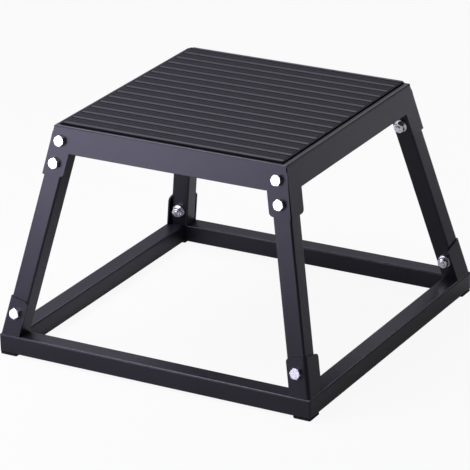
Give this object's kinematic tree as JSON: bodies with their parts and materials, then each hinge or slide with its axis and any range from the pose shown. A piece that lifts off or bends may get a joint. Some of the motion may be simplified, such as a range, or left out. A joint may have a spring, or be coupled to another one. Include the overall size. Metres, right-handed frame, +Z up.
{
  "type": "plyo box",
  "caption": "Square jump box of splayed square-tube legs bolted between a welded base frame and a folded sheet pan, with a ribbed non-slip mat on top",
  "frame": {"origin": "on the floor under the middle of the platform", "axes": "+X to the right along the front edge, which the mat's ribs follow; +Y to the back; +Z up"},
  "size_m": [0.45, 0.45, 0.305],
  "materials": {
    "black_powder_coat": "satin",
    "zinc_plate": "satin",
    "mat_rubber": "matte",
    "foot_rubber": "matte"
  },
  "bodies": {
    "root": {"base_bolt_back_left": "zinc_plate", "base_bolt_back_right": "zinc_plate", "base_bolt_front_left": "zinc_plate", "base_bolt_front_right": "zinc_plate", "base_nut_back_left": "zinc_plate", "base_nut_back_right": "zinc_plate", "base_nut_front_left": "zinc_plate", "base_nut_front_right": "zinc_plate", "base_tube_back": "black_powder_coat", "base_tube_front": "black_powder_coat", "base_tube_left": "black_powder_coat", "base_tube_right": "black_powder_coat", "base_washer_back_left": "zinc_plate", "base_washer_back_right": "zinc_plate", "base_washer_front_left": "zinc_plate", "base_washer_front_right": "zinc_plate", "corner_bracket_back_left": "black_powder_coat", "corner_bracket_back_right": "black_powder_coat", "corner_bracket_front_left": "black_powder_coat", "corner_bracket_front_right": "black_powder_coat", "foot_back_left": "foot_rubber", "foot_back_right": "foot_rubber", "foot_front_left": "foot_rubber", "foot_front_right": "foot_rubber", "leg_back_left": "black_powder_coat", "leg_back_right": "black_powder_coat", "leg_front_left": "black_powder_coat", "leg_front_right": "black_powder_coat", "top_bolts_back_left": "zinc_plate", "top_bolts_back_right": "zinc_plate", "top_bolts_front_left": "zinc_plate", "top_bolts_front_right": "zinc_plate", "top_mat": "mat_rubber", "top_nuts_back_left": "zinc_plate", "top_nuts_back_right": "zinc_plate", "top_nuts_front_left": "zinc_plate", "top_nuts_front_right": "zinc_plate", "top_pan": "black_powder_coat", "top_washers_back_left": "zinc_plate", "top_washers_back_right": "zinc_plate", "top_washers_front_left": "zinc_plate", "top_washers_front_right": "zinc_plate"}
  },
  "joints": []
}
